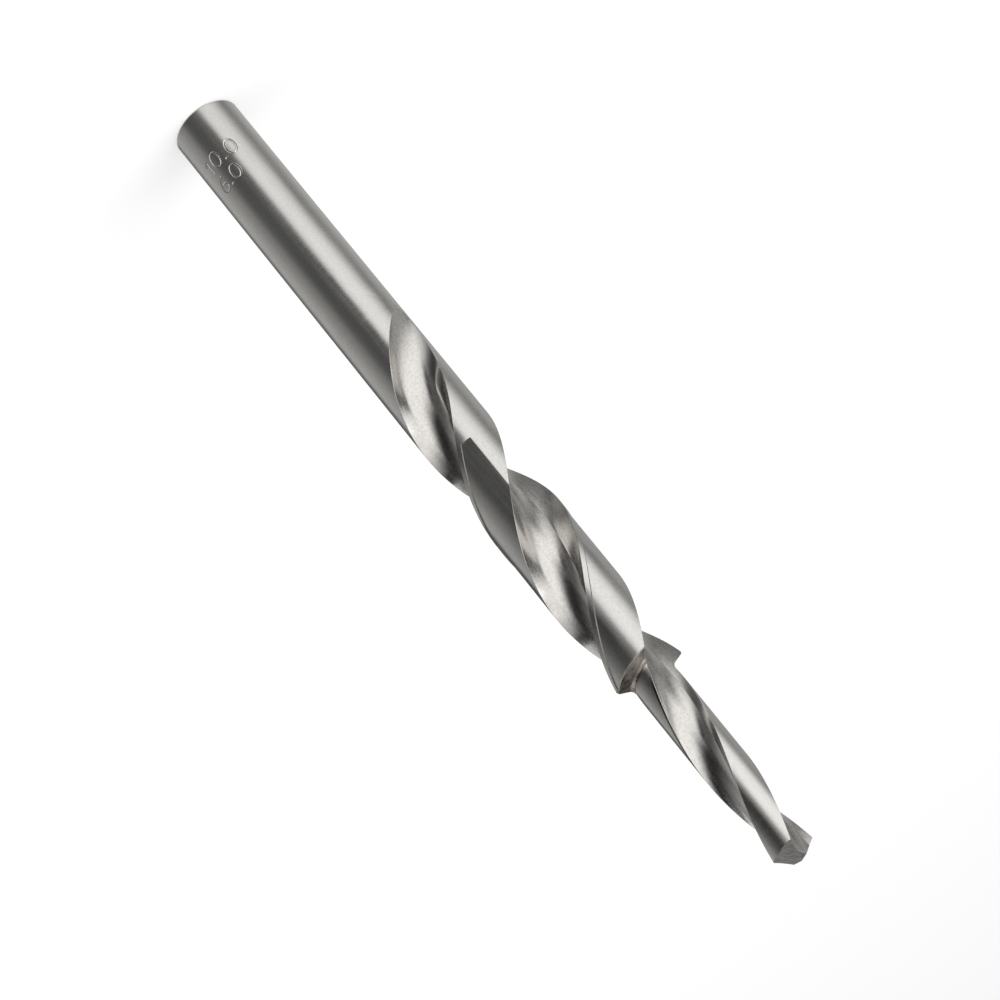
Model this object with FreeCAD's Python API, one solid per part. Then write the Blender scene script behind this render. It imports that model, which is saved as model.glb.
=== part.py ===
# Two-diameter step twist drill, right-hand, ground from one piece of high-speed steel.
# All lengths in millimetres, all angles in degrees.
# The drill stands on its shank end: +Z runs along the axis towards the point, the
# origin is the centre of the shank end face, and +X runs along one cutting lip.
import FreeCAD, Part
import math
import os

from FreeCAD import Vector

# Overall sizes
overall_length = 133.0
body_diameter = 10.0
shank_diameter = 9.96
pilot_diameter = 6.0
pilot_length = 29.9
plain_shank_length = 43.0
shank_end_chamfer = 0.2

# Flutes
helix_lead = 57.4
flute_opening_angle = 99.3
lip_offset_at_point = 0.6
lip_offset_gain_per_length = 0.002
bottom_start_along_lip = 2.4
bottom_roundness = 0.9
runout_wheel_radius = 45.0
runout_lift_angle = 80.0

# Body clearance behind the margins
margin_width = 0.7
clearance_depth = 0.13
clearance_wall_angle = 45.0
clearance_start = 64.8
clearance_start_angle = 26.9

# Step shoulder
shoulder_included_angle = 140.0
shoulder_relief_angle = 12.0
shoulder_fillet_radius = 0.8
shoulder_corner_break = 0.25

# Point
point_angle = 118.0
primary_relief_angle = 10.0
secondary_relief_angle = 33.0
primary_facet_angle = 28.0

# Room that the cutters have beyond the metal they take away
past_metal = 1.0
gap_between_cutters = 2.0
fillet_sink = 0.01

# How finely the swept cutters are sectioned
degrees_per_flute_section = 20.0
degrees_per_shoulder_section = 10.0
rake_points = 5
bottom_points = 7
heel_points = 4

# Sizes that follow from the ones above
body_radius = body_diameter / 2
shank_radius = shank_diameter / 2
pilot_radius = pilot_diameter / 2
cutter_reach = 1.5 * body_radius
step_height = overall_length - pilot_length
taper_start = plain_shank_length - past_metal
shoulder_edge = body_radius - shoulder_corner_break
fillet_centre = pilot_radius - fillet_sink + shoulder_fillet_radius
flank = math.radians(90 - shoulder_included_angle / 2)
flank_rise = (shoulder_edge - fillet_centre) * math.tan(flank)
shoulder_rise = flank_rise + shoulder_fillet_radius / math.cos(flank)
bar_top = step_height + shoulder_rise + past_metal
turn_per_length = 360 / helix_lead
land_angle = 180 - flute_opening_angle
cleared_radius = body_radius - clearance_depth
lip_slope = 1 / math.tan(math.radians(point_angle / 2))
primary_slope = math.tan(math.radians(primary_relief_angle))
secondary_slope = math.tan(math.radians(secondary_relief_angle))
lip_height = overall_length + lip_offset_at_point * primary_slope


def polar(radius, angle, height=0.0):
    """Point at a radius, an angle in degrees and a height."""
    turn = math.radians(angle)
    return Vector(radius * math.cos(turn), radius * math.sin(turn), height)


def direction(point):
    """Angle in degrees at which a point lies round the axis."""
    return math.degrees(math.atan2(point.y, point.x))


def spread(first, last, count):
    """Evenly spaced numbers from first to last, both included."""
    return [first + (last - first) * i / (count - 1) for i in range(count)]


def stations(first, last, step):
    """Evenly spaced numbers from first to last, at most one step apart."""
    return spread(first, last, 1 + math.ceil(abs(last - first) / step))


def turning(angle):
    """Rotation about the drill's axis."""
    return FreeCAD.Rotation(Vector(0, 0, 1), angle)


def turned(shape, angle):
    """Copy of a shape turned about the drill's axis."""
    copy = shape.copy()
    copy.rotate(Vector(0, 0, 0), Vector(0, 0, 1), angle)
    return copy


def ground(drill, cutter):
    """Grind the same shape away on both sides, half a turn apart."""
    return drill.cut(cutter).cut(turned(cutter, 180))


# Blank: round bar with a smaller round pilot

def bar():
    """Plain shank with its end's edge broken, and a body that tapers back to it."""
    chamfer_top = Vector(0, 0, shank_end_chamfer)
    shank_top = Vector(0, 0, taper_start)
    end_radius = shank_radius - shank_end_chamfer
    end = Part.makeCone(end_radius, shank_radius, shank_end_chamfer)
    shank = Part.makeCylinder(shank_radius, taper_start - shank_end_chamfer, chamfer_top)
    back_taper = (body_radius - shank_radius) / (step_height - taper_start)
    body_length = bar_top - taper_start
    top_radius = shank_radius + back_taper * body_length
    body = Part.makeCone(shank_radius, top_radius, body_length, shank_top)
    return end.fuse(shank).fuse(body)


def pilot():
    """Round pilot, from inside the body to above the point."""
    base = step_height - pilot_diameter
    top = overall_length + past_metal
    return Part.makeCylinder(pilot_radius, top - base, Vector(0, 0, base))


# Flutes: one section, turned and lifted along the helix

def lip_offset(height):
    """How far the straight part of the rake face lies ahead of the axis at a height."""
    return lip_offset_at_point + lip_offset_gain_per_length * (overall_length - height)


def rake_point(along_lip, offset):
    """Point of the rake face in its section, measured from the lip's direction.

    The rake face is the straight lip carried round the helix, so each point
    turns further the lower on the point's cone it lies."""
    turn = along_lip * lip_slope * turn_per_length
    return turning(turn).multVec(Vector(along_lip, offset, 0))


def rake_normal(along_lip, offset):
    """Direction square to the rake face in its section, away from the metal."""
    bend = math.radians(lip_slope * turn_per_length)
    square = Vector(-bend * along_lip, 1 - bend * offset, 0)
    return turning(along_lip * lip_slope * turn_per_length).multVec(square).normalize()


def edge_lead_over_lip(offset):
    """Angle from the lip's direction to the cutting edge at the body's diameter."""
    reach = math.sqrt(body_radius ** 2 - offset ** 2)
    return direction(rake_point(reach, offset))


def heel_corner(offset):
    """Point of the section at the heel of the land beyond the flute."""
    return polar(body_radius, edge_lead_over_lip(offset) + flute_opening_angle)


def bottom_arc(offset):
    """Centre and radius of the flute's bottom, and the angle at which it starts.

    The arc carries the rake face on without a corner."""
    start = rake_point(bottom_start_along_lip, offset)
    outward = rake_normal(bottom_start_along_lip, offset)
    to_heel = heel_corner(offset) - start
    widest_radius = to_heel.Length ** 2 / (2 * to_heel.dot(outward))
    radius = bottom_roundness * widest_radius
    return start + outward * radius, radius, direction(-outward)


def half_web(height):
    """Half the thickness that the two flutes leave between them."""
    centre, radius, _ = bottom_arc(lip_offset(height))
    return centre.Length - radius


def leading_edge_angle(height):
    """Direction of one land's cutting edge at a height."""
    start = edge_lead_over_lip(lip_offset_at_point)
    return start + turn_per_length * (height - lip_height)


def flute_profile(offset):
    """Points of the flute's section: rake side, bottom arc, straight heel side.

    The section is turned so that its cutting edge lies at angle zero."""
    along_rake = spread(cutter_reach, bottom_start_along_lip, rake_points)
    rake = [rake_point(x, offset) for x in along_rake]

    centre, bottom_radius, first = bottom_arc(offset)
    heel = heel_corner(offset)
    to_heel = heel - centre
    swing = math.degrees(math.acos(bottom_radius / to_heel.Length))
    leave = (direction(to_heel) + swing) % 360 - 360
    turns = spread(first, leave, bottom_points)
    bottom = [centre + polar(bottom_radius, a) for a in turns]

    side = heel - bottom[-1]
    length = side.Length + cutter_reach - body_radius
    away = Vector(side).normalize()
    heel_side = [bottom[-1] + away * d for d in spread(0, length, heel_points)]

    back = turning(-edge_lead_over_lip(offset))
    return [back.multVec(p) for p in rake + bottom[1:] + heel_side[1:]]


def runout_lift(height):
    """How far the grinding wheel has lifted out of the flute at a height."""
    depth = shank_radius - half_web(plain_shank_length)
    run = math.sqrt(2 * runout_wheel_radius * depth - depth ** 2)
    past = plain_shank_length + run - height
    if past <= 0:
        return 0.0
    return runout_wheel_radius - math.sqrt(runout_wheel_radius ** 2 - past ** 2)


def flute_section(height, knots):
    """Closed section of a flute cutter at a height."""
    lift = polar(runout_lift(height), runout_lift_angle)
    place = FreeCAD.Placement(Vector(0, 0, height), turning(leading_edge_angle(height)))
    points = [place.multVec(p + lift) for p in flute_profile(lip_offset(height))]
    flute = Part.BSplineCurve()
    flute.interpolate(Points=points, Parameters=knots)
    outside = place.multVec(polar(cutter_reach, flute_opening_angle / 2) + lift)
    closing = Part.makePolygon([points[-1], outside, points[0]])
    return Part.Wire([flute.toShape()] + closing.Edges)


def flute_cutter():
    """One helical flute, from its runout at the shank to past the point."""
    points = flute_profile(lip_offset_at_point)
    knots = [0.0]
    for before, after in zip(points, points[1:]):
        knots.append(knots[-1] + before.distanceToPoint(after))
    low = plain_shank_length - past_metal
    high = overall_length + past_metal
    heights = stations(low, high, degrees_per_flute_section / turn_per_length)
    return Part.makeLoft([flute_section(z, knots) for z in heights], True, False)


# Step shoulder: a cone backed off behind each cutting edge, filleted to the pilot

def shoulder_section(angle, drop):
    """Section, through the axis, of what is ground away above the shoulder."""
    fillet_end_height = step_height + shoulder_rise

    def at(radius, height):
        return polar(radius, angle, height - drop)

    def on_fillet(slope):
        inward = shoulder_fillet_radius * math.sin(slope)
        down = shoulder_fillet_radius * math.cos(slope)
        return at(fillet_centre - inward, fillet_end_height - down)

    broken = at(cutter_reach, step_height - (cutter_reach - shoulder_edge))
    corner = at(shoulder_edge, step_height)
    fillet_start = on_fillet(flank)
    fillet_middle = on_fillet((flank + math.pi / 2) / 2)
    fillet_end = on_fillet(math.pi / 2)
    inner_top = at(fillet_centre - shoulder_fillet_radius, bar_top + past_metal + drop)
    outer_top = at(cutter_reach, bar_top + past_metal + drop)
    outline = [
        Part.LineSegment(broken, corner),
        Part.LineSegment(corner, fillet_start),
        Part.Arc(fillet_start, fillet_middle, fillet_end),
        Part.LineSegment(fillet_end, inner_top),
        Part.LineSegment(inner_top, outer_top),
        Part.LineSegment(outer_top, broken),
    ]
    return Part.Wire([line.toShape() for line in outline])


def shoulder_cutter():
    """Backed-off shoulder of one land: highest at its cutting edge.

    It stops just short of its twin, in the middle of the flutes."""
    relief = math.tan(math.radians(shoulder_relief_angle))
    drop_per_degree = math.radians(1) * body_radius * relief
    lead = leading_edge_angle(step_height)
    ahead = (flute_opening_angle - gap_between_cutters) / 2
    behind = ahead - 180 + gap_between_cutters
    sections = [
        shoulder_section(lead + swing, -drop_per_degree * swing)
        for swing in stations(ahead, behind, degrees_per_shoulder_section)
    ]
    return Part.makeLoft(sections, True, False)


# Body clearance: a strip taken off each land between its margin and its heel

def clearance_section(height):
    """Section of the strip, from the margin's slanted wall to past the heel."""
    lead = leading_edge_angle(height)
    margin = lead - math.degrees(margin_width / body_radius)
    past_heel = lead - land_angle - math.degrees(past_metal / body_radius)
    on_margin = polar(body_radius, margin, height)
    wall_reach = 2 * clearance_depth / math.cos(math.radians(clearance_wall_angle))
    along_wall = polar(wall_reach, margin + clearance_wall_angle)

    def arc_to_past_heel(end):
        radius = math.hypot(end.x, end.y)
        start = direction(end)
        swing = (past_heel - start) % 360 - 360
        middle = polar(radius, start + swing / 2, height)
        return Part.Arc(end, middle, polar(radius, start + swing, height))

    outer = arc_to_past_heel(on_margin + along_wall)
    inner = arc_to_past_heel(on_margin - along_wall)
    outline = [
        Part.LineSegment(inner.StartPoint, outer.StartPoint),
        outer,
        Part.LineSegment(outer.EndPoint, inner.EndPoint),
        inner,
    ]
    return Part.Wire(Part.__sortEdges__([line.toShape() for line in outline]))


def clearance_cutter():
    """Relief of one land behind its margin.

    It starts with a flat, where the wheel first plunged into the land."""
    top = step_height + past_metal
    heights = stations(clearance_start, top, degrees_per_flute_section / turn_per_length)
    strip = Part.makeLoft([clearance_section(z) for z in heights], True, False)
    core = Part.makeCylinder(cleared_radius, top + past_metal)

    chord_half_angle = math.degrees(math.acos(cleared_radius / body_radius))
    first_cut = leading_edge_angle(clearance_start) - clearance_start_angle
    flat_direction = first_cut + chord_half_angle
    below_flat = Part.makeBox(
        body_diameter,
        cleared_radius,
        past_metal + land_angle / turn_per_length,
        Vector(0, 0, clearance_start - past_metal),
    )
    return strip.cut(core).cut(turned(below_flat, flat_direction - 90))


# Point: primary and secondary relief planes on each lip

def above_plane(corner, normal):
    """Large block on the side of a plane that its normal points to."""
    reach = overall_length
    across = normal.cross(Vector(1, 0, 0)).normalize() * reach
    up = across.cross(normal).normalize() * reach
    start = corner - across / 2 - up / 2
    corners = [start, start + across, start + across + up, start + up, start]
    return Part.Face(Part.makePolygon(corners)).extrude(normal * reach)


def point_cutters():
    """Primary and secondary relief of one lip.

    The secondary plane passes through the centre of the chisel edge."""
    on_lip = Vector(0, lip_offset_at_point, lip_height)
    primary = Vector(lip_slope, -primary_slope, 1).normalize()
    extra = secondary_slope - primary_slope
    back_line = math.tan(math.radians(primary_facet_angle))
    secondary = Vector(lip_slope - extra * back_line, -secondary_slope, 1).normalize()
    centre = Vector(0, 0, overall_length)
    return [above_plane(on_lip, primary), above_plane(centre, secondary)]


def step_drill():
    """The whole drill, in the order in which it is ground."""
    body = ground(bar(), shoulder_cutter())
    drill = ground(body.fuse(pilot()), flute_cutter())
    drill = ground(drill, clearance_cutter())
    for cutter in point_cutters():
        drill = ground(drill, cutter)
    return drill.Solids[0]


os.makedirs("parts", exist_ok=True)
step_drill().exportStep("parts/step_drill.step")
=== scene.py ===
import functools
import math
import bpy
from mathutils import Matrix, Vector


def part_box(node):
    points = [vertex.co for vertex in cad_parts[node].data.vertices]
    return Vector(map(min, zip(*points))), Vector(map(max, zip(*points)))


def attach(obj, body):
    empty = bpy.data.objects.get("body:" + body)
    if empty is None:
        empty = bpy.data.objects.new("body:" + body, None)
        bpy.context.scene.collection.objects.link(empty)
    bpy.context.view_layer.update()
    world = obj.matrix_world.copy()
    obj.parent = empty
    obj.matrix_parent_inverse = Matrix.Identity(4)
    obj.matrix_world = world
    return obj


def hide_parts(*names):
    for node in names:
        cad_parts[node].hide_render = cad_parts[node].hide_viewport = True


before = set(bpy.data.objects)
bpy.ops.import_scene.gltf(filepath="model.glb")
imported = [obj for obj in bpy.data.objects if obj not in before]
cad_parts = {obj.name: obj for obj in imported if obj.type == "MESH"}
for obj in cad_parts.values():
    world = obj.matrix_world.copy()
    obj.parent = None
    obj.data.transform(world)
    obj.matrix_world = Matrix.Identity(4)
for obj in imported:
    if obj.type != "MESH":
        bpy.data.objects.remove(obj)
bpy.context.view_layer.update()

from types import SimpleNamespace

import bmesh
import bpy
from bpy.props import FloatProperty, FloatVectorProperty, PointerProperty, StringProperty
from bpy.types import Operator, Panel, PropertyGroup
from mathutils import Matrix, Vector
from mathutils.kdtree import KDTree

bl_info = {
    "name": "Step Drill",
    "version": (1, 0, 0),
    "blender": (4, 5, 0),
    "location": "3D View > Sidebar > Step Drill",
    "description": "Grinds a two-diameter step twist drill and sets it in a small studio",
    "category": "Add Mesh",
}

PIECE = "ground_drill"
NODE = "step_drill"
STAGE_PREFIX = "studio_"
MM = 0.001

full_length = round(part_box(NODE)[1][2] / MM, 3)


def size(name, description, millimetres):
    """Length that a user may change."""
    return FloatProperty(
        name=name, description=description, default=millimetres * MM, min=0.0, precision=5,
        subtype="DISTANCE", unit="LENGTH",
    )


def angle(name, description, degrees):
    """Angle that a user may change."""
    return FloatProperty(
        name=name, description=description, default=math.radians(degrees),
        subtype="ANGLE", unit="ROTATION",
    )


def colour(name, description, default):
    """Colour that a user may change."""
    return FloatVectorProperty(
        name=name, description=description, default=default, min=0.0, max=1.0, subtype="COLOR"
    )


class StepDrillSizes(PropertyGroup):
    """Sizes of the drill."""

    overall_length: size("Overall length", "Shank end to point", full_length)
    body_diameter: size("Body diameter", "Diameter over the margins", 10.0)
    shank_diameter: size("Shank diameter", "Diameter of the plain shank", 9.96)
    pilot_diameter: size("Pilot diameter", "Diameter of the narrower front", 6.0)
    pilot_length: size("Pilot length", "Length of the narrower front", 29.9)
    plain_shank_length: size("Plain shank length", "Shank end to the flutes' runouts", 43.0)
    helix_lead: size("Helix lead", "Length in which a flute goes once round", 57.4)
    lip_offset: size("Lip offset", "How far each lip lies ahead of the axis", 0.6)
    margin_width: size("Margin width", "Width of the margin on each land", 0.7)
    clearance_depth: size("Clearance depth", "How far the land lies below its margin", 0.13)
    clearance_start: size("Clearance start", "Height at which the body clearance starts", 64.8)
    shoulder_angle: angle("Shoulder angle", "Included angle of the step", 140.0)
    point_angle: angle("Point angle", "Included angle of the point", 118.0)
    edge_break: size("Edge break", "Width by which the flutes' edges are dulled", 0.035)
    stamp_depth: size("Stamp depth", "Depth of the numbers in the shank", 0.07)
    stamp_upper: StringProperty(name="Upper number", description="Digits and dots", default="10.0")
    stamp_lower: StringProperty(name="Lower number", description="Digits and dots", default="6.0")


class StepDrillColours(PropertyGroup):
    """Colours of the steel and the studio."""

    steel: colour("Steel", "Freshly ground steel", (0.725, 0.715, 0.692))
    flute_steel: colour("Flute steel", "Steel of the flutes", (0.735, 0.713, 0.686))
    dull_steel: colour("Dull steel", "Steel left grey by a coarse wheel", (0.38, 0.355, 0.33))
    burnt_steel: colour("Burnt steel", "Brownish steel on the step shoulder", (0.21, 0.175, 0.145))
    # The burrs' own dark colour, and also painted shade on the clearance wall and on the rake face
    # beside each lip
    dark_steel: colour("Dark steel", "Burrs, and the wall behind each margin", (0.16, 0.155, 0.15))
    tent: colour("Tent", "Cloth of the light tent round the drill", (1.0, 1.0, 0.99))
    floor: colour("Floor", "Pale studio floor", (0.88, 0.88, 0.88))


def plain_sizes(group):
    """The sizes as plain numbers, in millimetres and degrees."""
    plain = SimpleNamespace()
    for name in group.__annotations__:
        value = getattr(group, name)
        subtype = group.bl_rna.properties[name].subtype
        if subtype == "DISTANCE":
            value = round(value / MM, 4)
        elif subtype == "ANGLE":
            value = round(math.degrees(value), 4)
        setattr(plain, name, value)
    return plain


# Places and angles round the drill, in millimetres and degrees

def polar(radius, degrees):
    """Point in the drill's cross-section at a radius and an angle."""
    turn = math.radians(degrees)
    return Vector((radius * math.cos(turn), radius * math.sin(turn)))


def direction(point):
    """Angle in degrees at which a point lies round the axis."""
    return math.degrees(math.atan2(point.y, point.x))


def turned(point, degrees):
    """Point turned about the drill's axis."""
    return Matrix.Rotation(math.radians(degrees), 2) @ point


def mix(first, second, share):
    """Value between two values, or beyond them."""
    return first + (second - first) * share


def spaced(low, high, count):
    """Evenly spaced values from beyond the low one up to the high one."""
    return [mix(low, high, i / count) for i in range(1, count + 1)]


def smooth(value, low, high):
    """0 at low, 1 at high, with a soft start and end."""
    share = min(max((value - low) / (high - low), 0.0), 1.0)
    return share * share * (3 - 2 * share)


RUNOUT_SEARCH = (-1.5, 2.0)     # where the runouts may end, from the plain shank's length
WEB_SEARCH = (-3.5, 4.0)        # places along the flute's section, one on each side of the web
SECTION_REACH = 8.0             # length along it that surely leads out of the bar
FLAT_TURN_LIMIT = 80.0          # turn at which the plunge flat is well clear of the bar


class Shape:
    """The drill's surfaces, from the sizes of the panel and those that stay as they are."""

    flute_opening = 99.3
    lip_offset_gain = 0.002
    bottom_start = 2.4
    bottom_roundness = 0.9
    runout_wheel = 45.0
    runout_direction = 80.0
    first_cut_behind = 26.9
    shoulder_relief = 12.0
    fillet = 0.8
    fillet_sink = 0.01
    corner_break = 0.25
    taper_from = 42.0
    end_chamfer = 0.2
    primary_relief = 10.0
    secondary_relief = 33.0
    primary_facet = 28.0

    def __init__(self, sizes):
        self.sizes = sizes
        self.length = sizes.overall_length
        self.radius = sizes.body_diameter / 2
        self.shank_radius = sizes.shank_diameter / 2
        self.pilot_radius = sizes.pilot_diameter / 2
        self.step = self.length - sizes.pilot_length
        self.turn = 360 / sizes.helix_lead
        self.lip_slope = 1 / math.tan(math.radians(sizes.point_angle / 2))
        self.primary_slope = math.tan(math.radians(self.primary_relief))
        self.secondary_slope = math.tan(math.radians(self.secondary_relief))
        self.lip_height = self.length + sizes.lip_offset * self.primary_slope
        self.cleared_radius = self.radius - sizes.clearance_depth
        self.shoulder_edge = self.radius - self.corner_break
        self.flank = math.radians(90 - sizes.shoulder_angle / 2)
        self.fillet_centre = self.pilot_radius - self.fillet_sink + self.fillet
        rise = (self.shoulder_edge - self.fillet_centre) * math.tan(self.flank)
        self.fillet_height = self.step + rise + self.fillet / math.cos(self.flank)
        relief = math.tan(math.radians(self.shoulder_relief))
        self.drop_per_degree = math.radians(1) * self.radius * relief
        self.margin = math.degrees(sizes.margin_width / self.radius)
        self.first_edge = self.edge_over_lip(sizes.lip_offset)
        depth = self.shank_radius - self.half_web(sizes.plain_shank_length)
        run = math.sqrt(2 * self.runout_wheel * depth - depth ** 2)
        self.full_flute = sizes.plain_shank_length + run
        self.tip = self.runout_tip()

    def offset(self, height):
        """How far the rake face's straight part lies ahead of the axis."""
        return self.sizes.lip_offset + self.lip_offset_gain * (self.length - height)

    def rake_point(self, along_lip, offset):
        """Point of the rake face: the straight lip carried round the helix."""
        return turned(Vector((along_lip, offset)), along_lip * self.lip_slope * self.turn)

    def edge_over_lip(self, offset):
        """Angle from the lip's direction to the cutting edge."""
        return direction(self.rake_point(math.sqrt(self.radius ** 2 - offset ** 2), offset))

    def bottom_arc(self, offset, heel):
        """Centre and radius of the flute's bottom arc, and where it starts from the centre."""
        start = self.rake_point(self.bottom_start, offset)
        bend = math.radians(self.lip_slope * self.turn)
        square = Vector((-bend * self.bottom_start, 1 - bend * offset))
        outward = turned(square, self.bottom_start * self.lip_slope * self.turn).normalized()
        to_heel = heel - start
        radius = self.bottom_roundness * to_heel.length_squared / (2 * to_heel @ outward)
        return start + outward * radius, radius, direction(-outward)

    def half_web(self, height):
        """Half the thickness between the flutes."""
        offset = self.offset(height)
        heel = polar(self.radius, self.edge_over_lip(offset) + self.flute_opening)
        centre, radius, _ = self.bottom_arc(offset, heel)
        return centre.length - radius

    def lead(self, height):
        """Direction of a land's cutting edge; it stays put below the runouts."""
        return self.first_edge + self.turn * (max(height, self.tip) - self.lip_height)

    def body_radius(self, height):
        """Radius over the margins, with the back taper."""
        if height > self.step:
            return self.radius
        share = max(0.0, (height - self.taper_from) / (self.step - self.taper_from))
        return mix(self.shank_radius, self.radius, share)

    def lift(self, height):
        """How far the flute's wheel has lifted out at a height."""
        past = self.full_flute - height
        if past <= 0:
            return 0.0
        return self.runout_wheel - math.sqrt(self.runout_wheel ** 2 - past ** 2)

    @functools.lru_cache(maxsize=64)
    def section(self, height):
        """Section of the flute at a height."""
        return FluteSection(self, height)

    def runout_tip(self):
        """Height at which the flute's wheel leaves the shank."""
        low, high = (self.sizes.plain_shank_length + reach for reach in RUNOUT_SEARCH)
        for _ in range(30):
            height = (low + high) / 2
            section = FluteSection(self, height)
            if section.point(section.deepest).length > self.body_radius(height):
                low = height
            else:
                high = height
        return high

    def flat_behind(self, height):
        """Direction of the plunge flat, from the cutting edge at a height."""
        start = self.plunge_width() - self.first_cut_behind
        return start - self.turn * (height - self.sizes.clearance_start)

    def plunge_width(self):
        """Angle that the plunge flat spans where it starts."""
        return math.degrees(math.acos(self.cleared_radius / self.radius))

    def crease(self, height):
        """Angle from the cutting edge at which the plunge flat ends."""
        ratio = self.cleared_radius / self.body_radius(height)
        return self.flat_behind(height) - math.degrees(math.acos(ratio))

    def cleared(self, degrees, height):
        """Radius of the land behind its margin, at an angle from the cutting edge."""
        behind = min(max(self.flat_behind(height) - degrees, 0.0), FLAT_TURN_LIMIT)
        flat = self.cleared_radius / math.cos(math.radians(behind))
        return min(self.body_radius(height), flat)

    def shoulder_height(self, profile_height, degrees):
        """Height on the backed-off shoulder, at an angle from the cutting edge."""
        lowered = profile_height - self.step + self.drop_per_degree * degrees
        return self.step + lowered / (1 - self.drop_per_degree * self.turn)

    def profile(self, place, outer):
        """Radius and height of the shoulder's profile: 0 at its outer corner, then
        1 above the corner break, 2 above the flank and 3 at the pilot."""
        if place <= 1:
            radius = mix(outer, self.shoulder_edge, place)
            return radius, self.step - (radius - self.shoulder_edge)
        foot_slope = math.asin(min(1.0, (self.fillet - self.fillet_sink) / self.fillet))
        slope = self.flank if place <= 2 else mix(self.flank, foot_slope, place - 2)
        radius = self.fillet_centre - self.fillet * math.sin(slope)
        height = self.fillet_height - self.fillet * math.cos(slope)
        if place <= 2:
            radius = mix(self.shoulder_edge, radius, place - 1)
            height = mix(self.step, height, place - 1)
        return radius, height


class FluteSection:
    """Section of the flute at a height, with its cutting edge at angle zero.

    A place along it is negative on the rake face and positive from the web on."""

    def __init__(self, shape, height):
        self.shape = shape
        self.offset = shape.offset(height)
        self.edge = shape.edge_over_lip(self.offset)
        heel = polar(shape.radius, self.edge + shape.flute_opening)
        self.centre, self.bottom, self.first_turn = shape.bottom_arc(self.offset, heel)
        to_heel = heel - self.centre
        swing = math.degrees(math.acos(self.bottom / to_heel.length))
        leave = (direction(to_heel) + swing) % 360 - 360
        self.bottom_length = math.radians(self.first_turn - leave) * self.bottom
        self.side_start = self.centre + polar(self.bottom, leave)
        self.side = (heel - self.side_start).normalized()
        self.lifted = polar(shape.lift(height), shape.runout_direction)
        self.deepest = self.nearest_place()

    def point(self, along):
        """Point at a place along the section."""
        if along < 0:
            place = self.shape.rake_point(self.shape.bottom_start - along, self.offset)
        elif along < self.bottom_length:
            turn = self.first_turn - math.degrees(along / self.bottom)
            place = self.centre + polar(self.bottom, turn)
        else:
            place = self.side_start + self.side * (along - self.bottom_length)
        return turned(place, -self.edge) + self.lifted

    def nearest_place(self):
        """Place along the section that is nearest to the axis."""
        low, high = WEB_SEARCH
        while high - low > 1e-6:
            step = (high - low) / 10
            places = [low + step * i for i in range(11)]
            best = min(places, key=lambda place: self.point(place).length)
            low, high = best - step, best + step
        return (low + high) / 2

    def crossing(self, radius, side):
        """Place along the section at which it comes out of a round bar."""
        inside, outside = self.deepest, self.deepest + side * SECTION_REACH
        if self.point(inside).length >= radius:
            return inside
        for _ in range(40):
            middle = (inside + outside) / 2
            if self.point(middle).length < radius:
                inside = middle
            else:
                outside = middle
        return inside


# The drill as rings of columns: each column follows the helix from end to end

HEEL_FACES = 11         # from the heel to the plunge flat's crease
BACK_FACES = 15         # from the crease to the clearance wall
MARGIN_FACES = 4
FLUTE_FACES = 56
WALL_FOOT = HEEL_FACES + BACK_FACES
WALL_TOP = WALL_FOOT + 1
LAND_COLUMNS = WALL_TOP + MARGIN_FACES + 1
FLUTE_COLUMNS = FLUTE_FACES + 1
HALF_COLUMNS = LAND_COLUMNS + FLUTE_COLUMNS
STAMP_HEIGHTS = (6.2, 13.4)     # stretch of the shank that the stamped numbers take up
RUNOUT_SPREAD = 6.0     # length below the runouts in which the flutes' columns spread out
CLEARED_LENGTH = 15.0   # stretch above the clearance's start that the plunge flat can reach
CREASE_ENDS = (8.6, 13.7)       # where the crease fades out at the heel, above that start
GATHERING = (6.0, 0.5)  # where the columns gather at the margins, below that start
PARTING = 0.06          # share of the pilot in which they spread evenly again
EDGE_BREAK_SHARE = 0.1  # of the flute's width, at most
ABOVE_POINT = 4.0       # room above the point that the point's planes grind away

STAMP_RINGS = 40
RUNOUT_RINGS = 60
CLEARED_RINGS = 40
BODY_RINGS = 50
SHOULDER_RINGS = 18
PILOT_RINGS = 78


def ring_places(shape):
    """Each ring's stretch of the drill and its place on that stretch."""
    stamp_low, stamp_high = STAMP_HEIGHTS
    spread_from = shape.tip - RUNOUT_SPREAD
    run = shape.full_flute - shape.tip
    start = shape.sizes.clearance_start
    stretches = [
        ("end", [0.0]),
        ("shank", [shape.end_chamfer, 2.2, 4.2, stamp_low]),
        ("shank", spaced(stamp_low, stamp_high, STAMP_RINGS)),
        ("shank", spaced(stamp_high, spread_from, 10)),
        ("shank", spaced(spread_from, shape.tip, 8)[:-1]),
        ("level", [shape.tip]),
        ("level", [shape.tip + run * share ** 2 for share in spaced(0, 1, RUNOUT_RINGS)]),
        ("level", spaced(shape.full_flute, start, 7)),
        ("cleared", [start]),
        ("cleared", spaced(start, start + CLEARED_LENGTH, CLEARED_RINGS)),
        ("body", spaced(0, 1, BODY_RINGS)[:-1]),
        ("shoulder", [0.0]),
        ("shoulder", spaced(0, 3, SHOULDER_RINGS)),
        ("pilot", spaced(0, 1, PILOT_RINGS)),
    ]
    return [(stretch, place) for stretch, places in stretches for place in places]


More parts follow.
